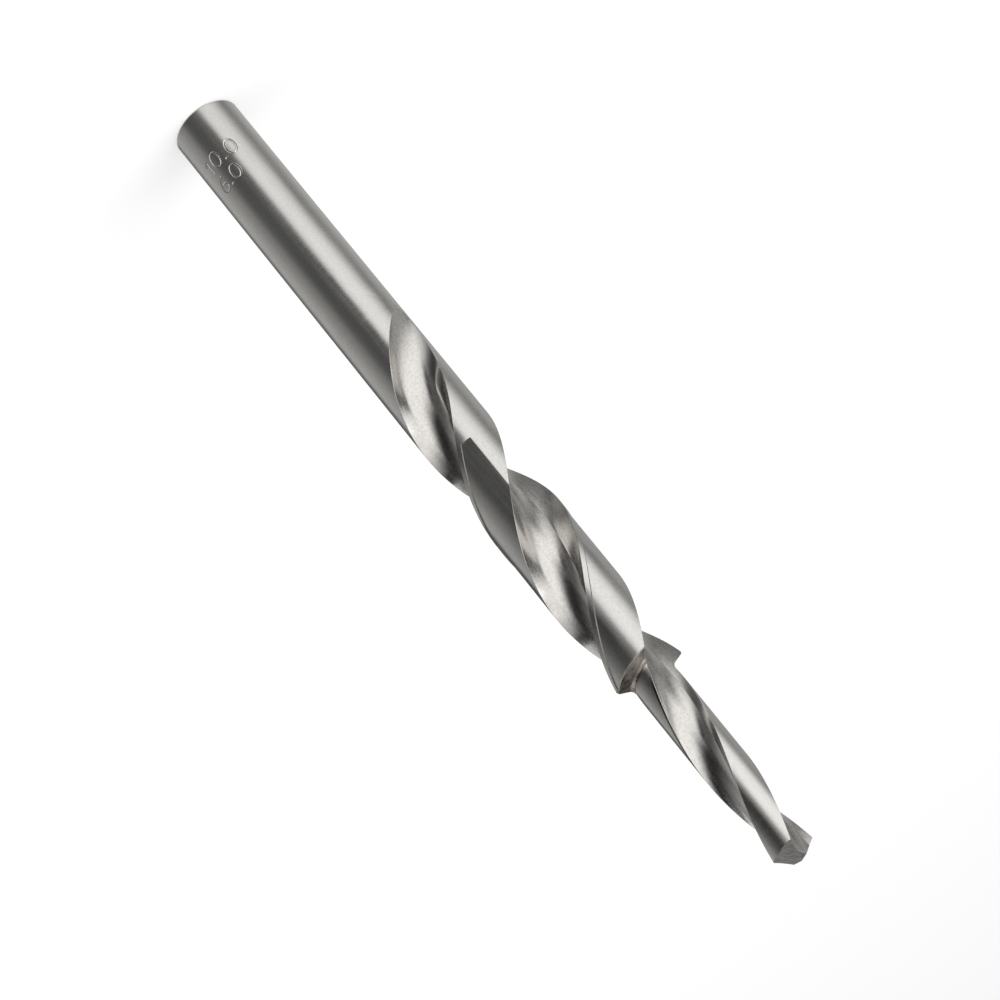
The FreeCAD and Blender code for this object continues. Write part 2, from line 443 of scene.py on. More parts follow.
class Ring:
    """One ring of the drill: where each of its columns lies."""

    def __init__(self, shape, stretch, place):
        self.shape = shape
        self.stretch = stretch
        self.place = place
        self.plain = stretch in ("end", "shank")
        self.relieved = stretch in ("cleared", "body", "shoulder")
        self.edge_break = 0.0
        self.find_edges()

    def outer_radius(self, degrees, height, on_margin):
        """Radius of the land, before the shoulder narrows it."""
        if self.relieved and not on_margin:
            return self.shape.cleared(degrees, height)
        return self.shape.body_radius(height)

    def land(self, degrees, on_margin):
        """Radius and height of the land at an angle from the cutting edge."""
        shape = self.shape
        if self.stretch == "end":
            return shape.shank_radius - shape.end_chamfer, 0.0
        if self.stretch in ("shank", "level", "cleared"):
            return self.outer_radius(degrees, self.place, on_margin), self.place
        outer = shape.radius if on_margin else shape.cleared_radius
        if self.stretch == "body":
            low = shape.sizes.clearance_start + CLEARED_LENGTH
            top = shape.shoulder_height(shape.profile(0, outer)[1], degrees)
            height = mix(low, top, self.place)
            return self.outer_radius(degrees, height, on_margin), height
        if self.stretch == "shoulder":
            radius, profile_height = shape.profile(self.place, outer)
            return radius, shape.shoulder_height(profile_height, degrees)
        low = shape.shoulder_height(shape.profile(3, outer)[1], degrees)
        return shape.pilot_radius, mix(low, shape.length + ABOVE_POINT, self.place)

    def edge(self, degrees, on_margin, side):
        """Height, place along the flute's section and angle of an edge near an angle."""
        radius, height = self.land(degrees, on_margin)
        section = self.shape.section(height)
        along = section.crossing(radius, side)
        return height, along, direction(section.point(along))

    def find_edges(self):
        """Where the flute comes out of the land, at its cutting edge and at its heel."""
        shape = self.shape
        if self.plain:
            spread = smooth(shape.tip - self.place, 0, RUNOUT_SPREAD)
            half = 90 * FLUTE_COLUMNS / HALF_COLUMNS * spread
            section = FluteSection(shape, shape.tip)
            middle = direction(section.point(section.deepest))
            self.lead_angle, self.heel_angle = middle - half, middle + half
            return
        self.lead_angle, self.heel_angle = 0.0, shape.flute_opening
        for _ in range(4):
            lead = self.edge(self.lead_angle, True, -1)
            self.lead_height, self.lead_along, self.lead_angle = lead
            heel = self.edge(self.heel_angle - 180, False, 1)
            self.heel_height, self.heel_along, self.heel_angle = heel
        width = self.heel_along - self.lead_along
        self.edge_break = min(shape.sizes.edge_break, EDGE_BREAK_SHARE * width)

    def land_angles(self):
        """Angles of the land's columns from the cutting edge, from the heel on."""
        shape = self.shape
        radius = shape.pilot_radius if self.stretch == "pilot" else shape.radius
        trim = math.degrees(self.edge_break / radius)
        heel, lead = self.heel_angle - 180 + trim, self.lead_angle - trim
        if self.plain:
            gap = (lead - heel) / LAND_COLUMNS
            return [heel + gap * (i + 0.5) for i in range(LAND_COLUMNS)]
        even = [mix(heel, lead, i / (LAND_COLUMNS - 1)) for i in range(LAND_COLUMNS)]
        start = shape.sizes.clearance_start
        if self.stretch == "pilot":
            grouped = 1 - smooth(self.place, 0, PARTING)
        else:
            grouped = smooth(self.lead_height, *(start - below for below in GATHERING))
        if not grouped:
            return even
        short = math.degrees((shape.radius - shape.body_radius(self.lead_height)) / shape.radius)
        wall_top = -shape.margin - short
        wall_foot = -shape.margin - math.degrees(shape.sizes.clearance_depth / shape.radius)
        faded = smooth(self.lead_height, *(start + above for above in CREASE_ENDS))
        spread = mix(heel, wall_foot, HEEL_FACES / WALL_FOOT * faded)
        middle = max(shape.crease(max(self.lead_height, start)), spread)
        angles = [mix(heel, middle, i / HEEL_FACES) for i in range(HEEL_FACES)]
        angles += [mix(middle, wall_foot, i / BACK_FACES) for i in range(BACK_FACES)]
        angles += [wall_foot]
        angles += [mix(wall_top, lead, i / MARGIN_FACES) for i in range(MARGIN_FACES + 1)]
        return [mix(a, b, grouped) for a, b in zip(even, angles)]

    def columns(self):
        """Points of half the ring, from one heel to the next."""
        shape = self.shape

        def on_land(degrees, on_margin):
            radius, height = self.land(degrees, on_margin)
            place = polar(radius, degrees + shape.lead(height))
            return Vector((place.x, place.y, height))

        angles = self.land_angles()
        points = [on_land(degrees, i >= WALL_TOP) for i, degrees in enumerate(angles)]
        if self.plain:
            gap = (self.heel_angle - self.lead_angle) / FLUTE_COLUMNS
            angles = [self.lead_angle + gap * (i + 0.5) for i in range(FLUTE_COLUMNS)]
            return points + [on_land(degrees, True) for degrees in angles]
        first, last = self.lead_along + self.edge_break, self.heel_along - self.edge_break
        for i in range(FLUTE_COLUMNS):
            share = i / FLUTE_FACES
            height = mix(self.lead_height, self.heel_height, share)
            place = shape.section(height).point(mix(first, last, share))
            place = turned(place, shape.lead(height))
            points.append(Vector((place.x, place.y, height)))
        return points

    def kind(self, column):
        """Which surface the face after a column belongs to, between this ring and the next."""
        if self.plain:
            return "shank"
        if column in (LAND_COLUMNS - 1, HALF_COLUMNS - 1):
            return "edge"
        if column >= LAND_COLUMNS:
            return "flute"
        if self.stretch == "shoulder" and self.place < 3:
            return "shoulder"
        if self.relieved and column == WALL_FOOT:
            return "wall"
        if self.relieved and column < WALL_FOOT:
            return "cleared"
        return "land"


SURFACES = ["shank", "land", "cleared", "wall", "flute", "edge", "shoulder", "point", "end"]
MERGED = 0.0005         # points that lie nearer together become one


def sweep_bar(shape):
    """Bar swept along its axis, with each column moved to where the wheels leave it."""
    rings = [Ring(shape, stretch, place) for stretch, place in ring_places(shape)]
    mesh = bmesh.new()
    column_layer = mesh.verts.layers.int.new("column")
    circle = bmesh.ops.create_circle(
        mesh, cap_ends=False, radius=shape.radius, segments=2 * HALF_COLUMNS
    )["verts"]
    for number, vertex in enumerate(circle):
        vertex[column_layer] = number
    bmesh.ops.spin(
        mesh, geom=circle + list(mesh.edges), cent=(0, 0, 0), axis=(0, 0, 1), dvec=(0, 0, 1),
        angle=0.0, steps=len(rings) - 1, use_duplicate=False,
    )
    places = [ring.columns() for ring in rings]
    for face in mesh.faces:
        column = min(vertex[column_layer] for vertex in face.verts)
        if {v[column_layer] for v in face.verts} == {0, 2 * HALF_COLUMNS - 1}:
            column = 2 * HALF_COLUMNS - 1
        low = min(round(vertex.co.z) for vertex in face.verts)
        kind = rings[low].kind(column % HALF_COLUMNS)
        face.material_index = SURFACES.index(kind)
        face.smooth = True
    for vertex in mesh.verts:
        half, column = divmod(vertex[column_layer], HALF_COLUMNS)
        place = places[round(vertex.co.z)][column]
        vertex.co = (-place.x, -place.y, place.z) if half else place
    return mesh


def cap(mesh, height, surface):
    """Close the open ring at a height."""
    edges = [e for e in mesh.edges if e.is_boundary and abs(e.verts[0].co.z - height) < 0.01]
    for face in bmesh.ops.contextual_create(mesh, geom=edges)["faces"]:
        face.material_index = SURFACES.index(surface)
        face.smooth = False


def grind_plane(mesh, corner, normal):
    """Grind away everything above a plane, and leave a flat facet."""
    geometry = list(mesh.verts) + list(mesh.edges) + list(mesh.faces)
    cut = bmesh.ops.bisect_plane(
        mesh, geom=geometry, dist=1e-5, plane_co=corner, plane_no=normal, clear_outer=True
    )
    edges = [e for e in cut["geom_cut"] if isinstance(e, bmesh.types.BMEdge)]
    facet = bmesh.ops.contextual_create(mesh, geom=edges)["faces"]
    for face in facet:
        face.material_index = SURFACES.index("point")
        face.smooth = False
    bmesh.ops.triangulate(mesh, faces=facet)


def grind_point(mesh, shape):
    """Primary and secondary relief of both lips."""
    primary = Vector((shape.lip_slope, -shape.primary_slope, 1))
    extra = shape.secondary_slope - shape.primary_slope
    back_line = math.tan(math.radians(shape.primary_facet))
    secondary = Vector((shape.lip_slope - extra * back_line, -shape.secondary_slope, 1))
    on_lip = Vector((0, shape.sizes.lip_offset, shape.lip_height))
    centre = Vector((0, 0, shape.length))
    for corner, normal in ((on_lip, primary), (centre, secondary)):
        for half_turn in (0, 1):
            turn = Matrix.Rotation(math.pi * half_turn, 3, "Z")
            grind_plane(mesh, turn @ corner, (turn @ normal).normalized())


STAMP_ZONE = (5.0, 15.0)        # the numbers' stretch of the shank, with room round it
STAMP_LEFT = -9.0               # direction of the numbers' left end
STAMP_LINES = ((9.35, 2.5), (12.85, 2.35))  # each line's foot and the height of its digits
STAMP_GAP = 0.19                # between two digits, as a share of their height
STROKE_STEP = 0.03              # between the points that stand for a stroke
STROKE_HALF_WIDTH = 0.12
BURR_WIDTH = 0.1
BURR_HEIGHT = 0.2               # as a share of the stroke's depth
STROKE_REACH = (0.4, 0.6)       # how far from a stroke the shank is divided, and rounded


def glyph(sign):
    """Strokes of a digit in a box one high, as lists of points, and its width."""
    def arc(centre, across, up, start, end, steps=24):
        turns = [math.radians(mix(start, end, i / steps)) for i in range(steps + 1)]
        return [(centre[0] + across * math.cos(t), centre[1] + up * math.sin(t)) for t in turns]

    if sign == "0":
        return [arc((0.28, 0.5), 0.28, 0.5, 0, 360, 40)], 0.56
    if sign == "1":
        return [[(0.04, 0.74), (0.24, 1.0), (0.24, 0.0)]], 0.36
    if sign == "6":
        back = arc((0.52, 0.28), 0.52, 0.74, 96, 180, 20)
        return [back, arc((0.28, 0.28), 0.28, 0.28, 0, 360, 32)], 0.56
    if sign == ".":
        return [arc((0.09, 0.03), 0.03, 0.03, 0, 360, 8)], 0.18
    raise ValueError(f"No strokes are known for {sign!r}")


def stamp_strokes(text, left, foot, height):
    """Closely spaced points of a line of digits on the unrolled shank."""
    points = []
    across = left
    for sign in text:
        strokes, width = glyph(sign)
        for stroke in strokes:
            for (x0, y0), (x1, y1) in zip(stroke, stroke[1:]):
                length = math.hypot(x1 - x0, y1 - y0) * height
                steps = max(1, math.ceil(length / STROKE_STEP))
                for i in range(steps + 1):
                    x, y = mix(x0, x1, i / steps), mix(y0, y1, i / steps)
                    points.append((across - x * height, foot - y * height, 0.0))
        across -= (width + STAMP_GAP) * height
    return points


def stamp_shank(mesh, shape):
    """Press the two numbers into the shank, with a slight burr beside each stroke."""
    radius, depth = shape.shank_radius, shape.sizes.stamp_depth
    left = math.radians(STAMP_LEFT) * radius
    numbers = (shape.sizes.stamp_upper, shape.sizes.stamp_lower)
    strokes = [
        point for text, line in zip(numbers, STAMP_LINES)
        for point in stamp_strokes(text, left, *line)
    ]
    tree = KDTree(len(strokes))
    for number, point in enumerate(strokes):
        tree.insert(point, number)
    tree.balance()
    low, high = STAMP_ZONE
    divided, rounded = STROKE_REACH

    def away(place):
        """Distance from the nearest stroke."""
        unrolled = (math.atan2(place.y, place.x) * radius, place.z, 0.0)
        return tree.find(unrolled)[2]

    near = [face for face in mesh.faces if low < face.calc_center_median().z < high
            and any(away(vertex.co) < divided for vertex in face.verts)]
    edges = list({edge for face in near for edge in face.edges})
    bmesh.ops.subdivide_edges(mesh, edges=edges, cuts=3, use_grid_fill=True)
    for vertex in mesh.verts:
        if not low < vertex.co.z < high:
            continue
        distance = away(vertex.co)
        if distance > rounded:
            continue
        raised = 0.0
        if distance < STROKE_HALF_WIDTH:
            raised = -depth * (1 - (distance / STROKE_HALF_WIDTH) ** 4)
        elif distance < STROKE_HALF_WIDTH + BURR_WIDTH:
            share = (distance - STROKE_HALF_WIDTH) / BURR_WIDTH
            raised = BURR_HEIGHT * depth * math.sin(math.pi * share)
        scale = (radius + raised) / vertex.co.xy.length
        vertex.co.x *= scale
        vertex.co.y *= scale


def mark_sharp(mesh, limit=20.0):
    """Keep ground corners crisp and round surfaces smooth."""
    for edge in mesh.edges:
        if edge.is_manifold and edge.calc_face_angle() > math.radians(limit):
            edge.smooth = False


def new_object(name, mesh):
    """Object at the origin, with its place in its mesh."""
    data = bpy.data.meshes.new(name)
    mesh.to_mesh(data)
    mesh.free()
    made = bpy.data.objects.new(name, data)
    bpy.context.scene.collection.objects.link(made)
    return made


# Finishes

class Signal:
    """Output of a shader node; arithmetic on it adds Math nodes."""

    def __init__(self, nodes, output):
        self.nodes = nodes
        self.output = output

    def math(self, operation, *others):
        """Math node on this value and others."""
        return self.nodes.node("ShaderNodeMath", {"operation": operation}, (self, *others))

    def sibling(self, name):
        """Another output of the same node."""
        return Signal(self.nodes, self.output.node.outputs[name])

    def __add__(self, other):
        return self.math("ADD", other)

    def __sub__(self, other):
        return self.math("SUBTRACT", other)

    def __rsub__(self, other):
        return self.math("MULTIPLY_ADD", -1.0, other)

    def __mul__(self, other):
        return self.math("MULTIPLY", other)

    def __truediv__(self, other):
        return self.math("DIVIDE", other)

    def __pow__(self, other):
        return self.math("POWER", other)

    def __mod__(self, other):
        return self.math("FLOORED_MODULO", other)

    def __abs__(self):
        return self.math("ABSOLUTE")

    __radd__ = __add__
    __rmul__ = __mul__


class Nodes:
    """A node tree and the shader that shows its results."""

    def __init__(self, tree, shader):
        self.tree = tree
        self.shader = tree.nodes[shader]

    def node(self, kind, settings=None, values=(), output=0):
        """New node: its settings first, then the values or links of its sockets."""
        node = self.tree.nodes.new(kind)
        for name, setting in (settings or {}).items():
            setattr(node, name, setting)
        named = values.items() if isinstance(values, dict) else enumerate(values)
        for name, value in named:
            self.feed(node.inputs[name], value)
        return Signal(self, node.outputs[output])

    def tinted(self, value, tint):
        """Colour multiplied by a tint."""
        settings = {"data_type": "RGBA", "blend_type": "MULTIPLY"}
        return self.node("ShaderNodeMix", settings, {0: 1.0, 6: value, 7: rgba(tint)}, output=2)

    def feed(self, socket, value):
        """Link a signal to a socket, or give the socket a plain value."""
        if isinstance(value, Signal):
            self.tree.links.new(value.output, socket)
        else:
            socket.default_value = value

    def set(self, **sockets):
        """Values or links of the surface shader's sockets."""
        for name, value in sockets.items():
            title = name.replace("_", " ").title().replace("Ior", "IOR")
            self.feed(self.shader.inputs[title], value)

    def seen_directly(self):
        """1 for rays from the lens, from a mirror or through glass, otherwise 0."""
        lens = self.node("ShaderNodeLightPath", output="Is Camera Ray")
        return lens + lens.sibling("Is Glossy Ray") + lens.sibling("Is Transmission Ray")


class Finish(Nodes):
    """A material and its node tree."""

    def __init__(self, name):
        self.material = bpy.data.materials.new(name)
        self.material.use_nodes = True
        super().__init__(self.material.node_tree, "Principled BSDF")

    def place(self):
        """Object coordinates in millimetres, as three signals."""
        spot = self.node("ShaderNodeTexCoord", output="Object")
        apart = self.node("ShaderNodeSeparateXYZ", values=(spot,))
        return [apart.sibling(axis) / MM for axis in "XYZ"]

    def noise(self, x, y, z, scale=1.0, detail=3.0, roughness=0.5):
        """Soft noise from 0 to 1, in patches about 1 / scale wide."""
        where = self.node("ShaderNodeCombineXYZ", values=(x, y, z))
        values = {"Vector": where, "Scale": scale, "Detail": detail, "Roughness": roughness}
        return self.node("ShaderNodeTexNoise", {"noise_dimensions": "3D"}, values)

    def ramp(self, value, low, high, to_low=0.0, to_high=1.0):
        """Value carried smoothly from one range to another, and held outside it."""
        settings = {"interpolation_type": "SMOOTHSTEP", "clamp": True}
        return self.node("ShaderNodeMapRange", settings, (value, low, high, to_low, to_high))

    def blend(self, share, first, second):
        """Colour between two colours."""
        values = {0: share, 6: rgba(first), 7: rgba(second)}
        return self.node("ShaderNodeMix", {"data_type": "RGBA"}, values, output=2)

    def bump(self, height, strength, distance, normal=None):
        """Normal of a surface roughened by a height from 0 to 1."""
        values = {"Strength": strength, "Distance": distance * MM, "Height": height}
        if normal:
            values["Normal"] = normal
        return self.node("ShaderNodeBump", values=values)

    def metal(self, colour, **sockets):
        """Make it bare metal of a colour, and give its material."""
        self.set(base_color=colour, metallic=1.0, **sockets)
        return self.material

    def untwisted(self, shape):
        """Place with the helix taken out, so that its third part runs along a flute."""
        x, y, z = self.place()
        turn = z * math.radians(shape.turn)
        across, along = turn.math("COSINE"), turn.math("SINE")
        return x * across + y * along, y * across - x * along, z

    def turned_normal(self, turn):
        """Normal turned about the drill's axis."""
        facing = self.node("ShaderNodeNewGeometry", output="Normal")
        values = {"Vector": facing, "Angle": turn}
        return self.node("ShaderNodeVectorRotate", {"rotation_type": "Z_AXIS"}, values)

    def from_edge(self, shape, x, y):
        """Degrees from the cutting edge, once the helix is taken out."""
        edge = shape.first_edge - shape.turn * shape.lip_height
        return (y.math("ARCTAN2", x) * math.degrees(1) - edge) % 180


def rgba(value):
    """Colour as a socket takes it, with its alpha."""
    return value if isinstance(value, Signal) else (*value, 1.0)


def darker(colour, share):
    """Colour with only a share of its brightness."""
    return [part * share for part in colour]


RAKE_FACE_OPENED = 14.0     # how much more open than the sweep the rake face stands
PLUNGE_FLAT_TURNED = 10.0   # how much further round than the sweep the plunge flat faces
FLAT_REACH = 1.8            # how far that goes past the crease, in widths of the flat


def pilot_burr(finish, shape):
    """Where a dark burr lies along the pilot's heel, from 0 to 1."""
    x, y, z = finish.untwisted(shape)
    heel = shape.flute_opening + 5.0
    wander = finish.noise(0.0, 0.0, z, scale=0.9) * 6 - 3
    beside = abs(finish.from_edge(shape, x, y) - heel + wander)
    starts = finish.ramp(z, shape.step + 0.5, shape.step + 3)
    ends = finish.ramp(z, shape.step + 21, shape.step + 12)
    return finish.ramp(beside, 5.0, 2.0) * starts * ends


def round_finish(name, colours, lines=1.0, burr_of=None):
    """Ground round the axis: fine lines round the bar, a faint mottle, and a shape's burr."""
    finish = Finish(name)
    x, y, z = finish.place()
    fine = finish.noise(x * 0.35, y * 0.35, z * 9, detail=2.0, roughness=0.6)
    coarse = finish.noise(x * 0.9, y * 0.9, z * 0.12)
    mottle = finish.noise(x, y, z, scale=3.0, detail=4.0, roughness=0.65)
    grey = finish.ramp(fine * 0.15 + coarse * 0.35 + mottle * 0.5, 0.38, 0.6)
    steel = finish.blend(grey, darker(colours.steel, 0.9), colours.steel)
    if burr_of:
        steel = finish.blend(pilot_burr(finish, burr_of), steel, colours.dark_steel)
    return finish.metal(
        steel,
        roughness=finish.ramp(fine * 0.5 + coarse * 0.5, 0.3, 0.7, 0.22, 0.3),
        anisotropic=0.7,
        anisotropic_rotation=0.25,
        normal=finish.bump(fine * 0.2 + mottle * 0.8, 0.15 * lines, 0.004),
    )


def cleared_finish(name, colours, shape):
    """Set back by a coarser wheel: streaked, and with a plunge flat that faces a little
    further round than the sweep leaves it."""
    finish = Finish(name)
    x, y, z = finish.place()
    streak = finish.noise(x * 0.9, y * 0.9, z * 0.12)
    mottle = finish.noise(x, y, z, scale=3.0, detail=4.0, roughness=0.65)
    grey = finish.ramp(streak * 0.4 + mottle * 0.6, 0.38, 0.62)
    start = shape.sizes.clearance_start
    flat_end = shape.lead(start) + shape.crease(start)
    past_crease = (y.math("ARCTAN2", x) * math.degrees(1) - flat_end) % 180
    on_flat = past_crease.math("LESS_THAN", FLAT_REACH * shape.plunge_width())
    near = z.math("LESS_THAN", start + CLEARED_LENGTH)
    turned_flat = finish.turned_normal(on_flat * near * math.radians(PLUNGE_FLAT_TURNED))
    return finish.metal(
        finish.blend(grey, darker(colours.steel, 0.88), colours.steel),
        roughness=finish.ramp(streak, 0.3, 0.7, 0.22, 0.3),
        anisotropic=0.6,
        anisotropic_rotation=0.25,
        normal=finish.bump(streak * 0.3 + mottle * 0.7, 0.15, 0.004, turned_flat),
    )


def wall_finish(name, colours):
    """The narrow wall that the clearance wheel's corner leaves, with painted shade: steel made
    dark for the shadow in the step.
    """
    finish = Finish(name)
    mottle = finish.noise(*finish.place(), scale=3.0)
    return finish.metal(
        # Painted shade: the dark mottled steel stands in for the shadow in the step behind the
        # margin
        finish.blend(mottle, colours.dark_steel, colours.dull_steel),
        roughness=0.5,
    )


def flute_finish(name, colours, shape):
    """Ground lengthwise: long streaks, with short ripples across them, and a rake face
    that the wheel leaves a little more open than the sweep; beside the lip, painted shade
    darkens the rake face to stand in for a dark reflection."""
    finish = Finish(name)
    x, y, z = finish.untwisted(shape)
    place = finish.from_edge(shape, x, y)
    radius = (x * x + y * y) ** 0.5
    beside_lip = finish.ramp(radius, 2.2, 3.2) * finish.ramp(place, 9, 7)
    hollow = finish.ramp(place, 30, 92, math.radians(-RAKE_FACE_OPENED), 0.0)
    opened = finish.turned_normal((1 - beside_lip) * hollow)
    streak = finish.noise(x * 4, y * 4, z * 0.25, roughness=0.6)
    ripple = finish.noise(x * 1.4, y * 1.4, z * 3.4, roughness=0.6)
    mottle = finish.noise(x, y, z, scale=2.8, detail=4.0, roughness=0.65)
    worn_and_shade_steel = darker(colours.flute_steel, 0.84)
    # Painted shade: the rake face's outer part beside the lip goes to darker steel, standing in
    # for a dark reflection
    lip_painted_shade = finish.ramp(radius, 2.6, 3.6) * finish.ramp(place, 20, 10)
    grey = finish.ramp(streak * 0.3 + mottle * 0.7, 0.36, 0.6) * (1 - lip_painted_shade)
    steel = finish.blend(grey, worn_and_shade_steel, colours.flute_steel)
    return finish.metal(
        # Painted shade beside the lip, blended towards the dark steel
        finish.blend(lip_painted_shade * 0.6, steel, colours.dark_steel),
        roughness=finish.ramp(streak * 0.5 + mottle * 0.5, 0.3, 0.7, 0.18, 0.26),
        anisotropic=0.6,
        anisotropic_rotation=0.0,
        normal=finish.bump(streak * 0.2 + ripple * 0.3 + mottle * 0.5, 0.45, 0.014, opened),
    )


def shoulder_finish(name, colours, shape):
    """Backed off by a hand wheel: brownish, with slanting streaks."""
    finish = Finish(name)
    x, y, z = finish.untwisted(shape)
    streak = finish.noise(x * 3 + y * 2, y * 0.8, z * 0.8, roughness=0.6)
    mottle = finish.noise(x, y, z, scale=2.5, detail=4.0, roughness=0.62)
    brown = finish.ramp(streak * 0.6 + mottle * 0.4, 0.36, 0.64)
    return finish.metal(
        finish.blend(brown, colours.burnt_steel, colours.dull_steel),
        roughness=finish.ramp(streak, 0.3, 0.7, 0.24, 0.4),
        normal=finish.bump(streak, 0.3, 0.01),
    )


def point_finish(name, colours):
    """Freshly ground facets with straight lines."""
    finish = Finish(name)
    x, y, z = finish.place()
    line = finish.noise(x * 1.2, y * 8, z * 1.2, detail=2.0)
    mottle = finish.noise(x, y, z, scale=3.0)
    grey = finish.ramp(line * 0.6 + mottle * 0.4, 0.35, 0.65)
    return finish.metal(
        finish.blend(grey, darker(colours.steel, 0.8), colours.steel),
        roughness=finish.ramp(line, 0.3, 0.7, 0.2, 0.3),
        normal=finish.bump(line, 0.15, 0.004),
    )


def end_finish(name, colours):
    """Faced in a lathe: rings round the centre."""
    finish = Finish(name)
    x, y, z = finish.place()
    radius = (x * x + y * y) ** 0.5
    rings = finish.noise(radius * 6, 0.0, 0.0, detail=2.0)
    mottle = finish.noise(x, y, z, scale=2.0)
    grey = finish.ramp(rings * 0.6 + mottle * 0.4, 0.35, 0.65)
    return finish.metal(
        finish.blend(grey, colours.dull_steel, colours.steel),
        roughness=finish.ramp(mottle, 0.3, 0.7, 0.24, 0.38),
        normal=finish.bump(rings, 0.4, 0.01),
    )


class STEPDRILL_OT_grind(Operator):
    """Grind the drill and give each of its surfaces a finish"""

    bl_idname = "step_drill.grind"
    bl_label = "Grind the Drill"

    def execute(self, context):
        sizes, colours = context.scene.step_drill_sizes, context.scene.step_drill_colours
        shape = Shape(plain_sizes(sizes))
        mesh = sweep_bar(shape)
        cap(mesh, 0.0, "end")
        cap(mesh, shape.length + ABOVE_POINT, "point")
        bmesh.ops.remove_doubles(mesh, verts=mesh.verts, dist=MERGED)
        bmesh.ops.dissolve_degenerate(mesh, edges=mesh.edges, dist=MERGED)
        grind_point(mesh, shape)
        stamp_shank(mesh, shape)
        bmesh.ops.remove_doubles(mesh, verts=mesh.verts, dist=MERGED)
        bmesh.ops.recalc_face_normals(mesh, faces=mesh.faces)
        mark_sharp(mesh)
        if not all(edge.is_manifold for edge in mesh.edges):
            raise RuntimeError("The drill isn't closed")
        bmesh.ops.scale(mesh, vec=(MM, MM, MM), verts=mesh.verts)
        drill = new_object(PIECE, mesh)
        finishes = {
            "shank": round_finish("ground_round", colours),
            "land": round_finish("ground_land", colours, burr_of=shape),
            "cleared": cleared_finish("cleared_land", colours, shape),
            "wall": wall_finish("clearance_wall", colours),
            "flute": flute_finish("ground_flute", colours, shape),
            "edge": round_finish("dulled_edge", colours, lines=0.3),
            "shoulder": shoulder_finish("backed_off_shoulder", colours, shape),
            "point": point_finish("ground_point", colours),
            "end": end_finish("faced_end", colours),
        }
        for surface in SURFACES:
            drill.data.materials.append(finishes[surface])
        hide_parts(NODE)
        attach(drill, "root")
        return {"FINISHED"}


# Studio

FLOOR_SIZE = 4.0
SOFTBOX_WIDTH = 1.0
SOFTBOXES = (           # name, place and watts
    ("key", (-0.5, -0.7, 1.1), 4.0),
    ("fill", (0.9, 0.3, 1.0), 2.5),
)
SOFTBOX_AIM = (0, 0, 0.06)
CAMERA_PLACE = (0.167700, -0.243272, 0.198370)
CAMERA_AIM = (0.000768, 0.000526, 0.072149)
CAMERA_ROLL = 141.0447
CAMERA_DIRECTION = -55.6    # from which it looks at the drill
LENS = 90.0
SENSOR = 36.0
NEAREST_SEEN = 0.01

# Soft round lamps on the light tent: degrees from the lens, degrees above the level,
# radius and softness of the edge in degrees, and brightness; a dark card takes light away
TENT_LAMPS = (
    (-43, 4, 63, 43, 1.17),        # large lamp on the left
    (-16, -44, 30, 86, 1.70),      # its foot
    (-160, 32, 96, 35, 0.35),      # wall behind on the left
    (127, 1, 91, 115, 0.51),       # wall behind on the right
    (157, -13, 34, 19, -0.50),     # dark card behind on the right
    (40, -86, 71, 8, 0.19),        # table
    (4, 46, 30, 14, 0.65),         # lamp over the lens
    (90, 17, 14, 12, 1.00),        # small lamp on the right
    (21, -52, 39, 12, -0.11),      # dark card on the table
    (-4, -25, 14, 16, -1.13),      # dark card below the lens
    (180, 56, 42, 20, -0.32),      # dark card behind, above the drill
)
TENT_LEVEL = 0.022      # light between the lamps
TENT_RADIUS = 5.0
FLOOR_GLOW = 0.35       # what the floor adds to its own light where it is seen
WORLD_LIGHT = 0.6       # strength of the world where it isn't seen


def light_tent(colours):
    """Round tent of cloth that only reflections show, lit through by soft lamps."""
    mesh = bmesh.new()
    bmesh.ops.create_uvsphere(mesh, u_segments=64, v_segments=32, radius=TENT_RADIUS)
    bmesh.ops.reverse_faces(mesh, faces=mesh.faces)
    tent = new_object(STAGE_PREFIX + "tent", mesh)
    cloth = Finish(STAGE_PREFIX + "tent")
    spot = cloth.node("ShaderNodeTexCoord", output="Object")
    outward = cloth.node("ShaderNodeVectorMath", {"operation": "NORMALIZE"}, (spot,))
    level = TENT_LEVEL
    for across, up, radius, softness, brightness in TENT_LAMPS:
        along = polar(math.cos(math.radians(up)), CAMERA_DIRECTION + across)
        lamp = (along.x, along.y, math.sin(math.radians(up)))
        operation = {"operation": "DOT_PRODUCT"}
        facing = cloth.node("ShaderNodeVectorMath", operation, (outward, lamp), output="Value")
        away = facing.math("ARCCOSINE")
        edge, core = math.radians(radius), math.radians(radius - softness)
        level = cloth.ramp(away, edge, core, 0.0, brightness) + level
    cloth.set(base_color=(0.0, 0.0, 0.0, 1.0), roughness=1.0, specular_ior_level=0.0)
    shown = cloth.tinted(level.math("MAXIMUM", 0.0), colours.tent)
    cloth.set(emission_color=shown, emission_strength=1.0)
    tent.data.materials.append(cloth.material)
    tent.visible_camera = tent.visible_diffuse = tent.visible_shadow = False
    tent.visible_transmission = False


def studio_floor(colours):
    """Pale floor that keeps the drill's soft shadow."""
    mesh = bmesh.new()
    bmesh.ops.create_grid(mesh, x_segments=8, y_segments=8, size=FLOOR_SIZE)
    floor = new_object(STAGE_PREFIX + "floor", mesh)
    paint = Finish(STAGE_PREFIX + "floor")
    paint.set(base_color=rgba(colours.floor), roughness=0.9, specular_ior_level=0.1)
    glow = paint.tinted(paint.seen_directly() * FLOOR_GLOW, (1.0, 1.0, 1.0))
    paint.set(emission_color=glow, emission_strength=1.0)
    floor.data.materials.append(paint.material)
    floor.visible_glossy = False


def studio_world():
    """White where it is seen, and a plain grey light elsewhere."""
    world = bpy.data.worlds.new(STAGE_PREFIX + "world")
    world.use_nodes = True
    bpy.context.scene.world = world
    sky = Nodes(world.node_tree, "Background")
    strength = WORLD_LIGHT + sky.seen_directly() * (1 - WORLD_LIGHT)
    sky.set(color=(1.0, 1.0, 1.0, 1.0), strength=strength)


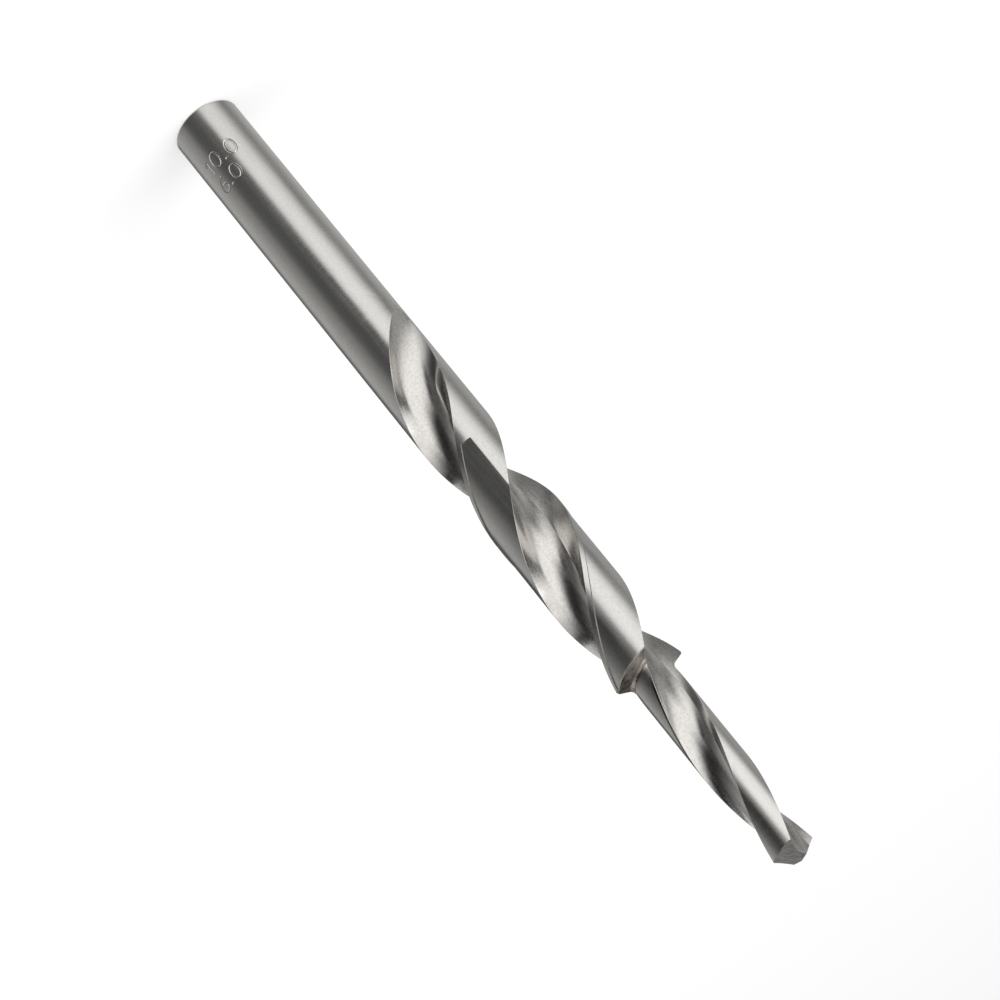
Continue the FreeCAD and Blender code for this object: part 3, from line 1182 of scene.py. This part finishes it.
def aimed_object(name, data, place, aim, roll=0.0):
    """Lamp or camera that faces a point."""
    made = bpy.data.objects.new(STAGE_PREFIX + name, data)
    turn = (Vector(aim) - Vector(place)).to_track_quat("-Z", "Y").to_matrix().to_4x4()
    rolled = Matrix.Rotation(math.radians(roll), 4, "Z")
    made.matrix_world = Matrix.Translation(place) @ turn @ rolled
    bpy.context.scene.collection.objects.link(made)
    return made


def softbox(name, place, power):
    """Large soft lamp that faces the middle of the drill."""
    light = bpy.data.lights.new(STAGE_PREFIX + name, "AREA")
    light.shape = "SQUARE"
    light.size = SOFTBOX_WIDTH
    light.energy = power
    aimed_object(name, light, place, SOFTBOX_AIM)


def studio_camera():
    """Camera in the place that the photograph was taken from."""
    lens = bpy.data.cameras.new(STAGE_PREFIX + "camera")
    lens.lens = LENS
    lens.sensor_width = SENSOR
    lens.clip_start = NEAREST_SEEN
    camera = aimed_object("camera", lens, CAMERA_PLACE, CAMERA_AIM, CAMERA_ROLL)
    bpy.context.scene.camera = camera


class STEPDRILL_OT_stage(Operator):
    """Set up the floor, the light tent, the lamps and the camera"""

    bl_idname = "step_drill.stage"
    bl_label = "Set the Stage"

    def execute(self, context):
        colours = context.scene.step_drill_colours
        context.scene.view_settings.view_transform = "Standard"
        studio_floor(colours)
        studio_world()
        light_tent(colours)
        for name, place, power in SOFTBOXES:
            softbox(name, place, power)
        studio_camera()
        return {"FINISHED"}


class STEPDRILL_PT_panel(Panel):
    """Sizes, colours and steps of the drill"""

    bl_label = "Step Drill"
    bl_idname = "STEPDRILL_PT_panel"
    bl_space_type = "VIEW_3D"
    bl_region_type = "UI"
    bl_category = "Step Drill"

    def draw(self, context):
        for group in (context.scene.step_drill_sizes, context.scene.step_drill_colours):
            for name in group.__annotations__:
                self.layout.prop(group, name)
        for operator in (STEPDRILL_OT_grind, STEPDRILL_OT_stage):
            self.layout.operator(operator.bl_idname)


CLASSES = (
    StepDrillSizes,
    StepDrillColours,
    STEPDRILL_OT_grind,
    STEPDRILL_OT_stage,
    STEPDRILL_PT_panel,
)


def register():
    for cls in CLASSES:
        bpy.utils.register_class(cls)
    bpy.types.Scene.step_drill_sizes = PointerProperty(type=StepDrillSizes)
    bpy.types.Scene.step_drill_colours = PointerProperty(type=StepDrillColours)


def unregister():
    del bpy.types.Scene.step_drill_colours
    del bpy.types.Scene.step_drill_sizes
    for cls in reversed(CLASSES):
        bpy.utils.unregister_class(cls)


def main():
    register()
    bpy.ops.step_drill.grind()
    bpy.ops.step_drill.stage()


if __name__ == "__main__":
    main()
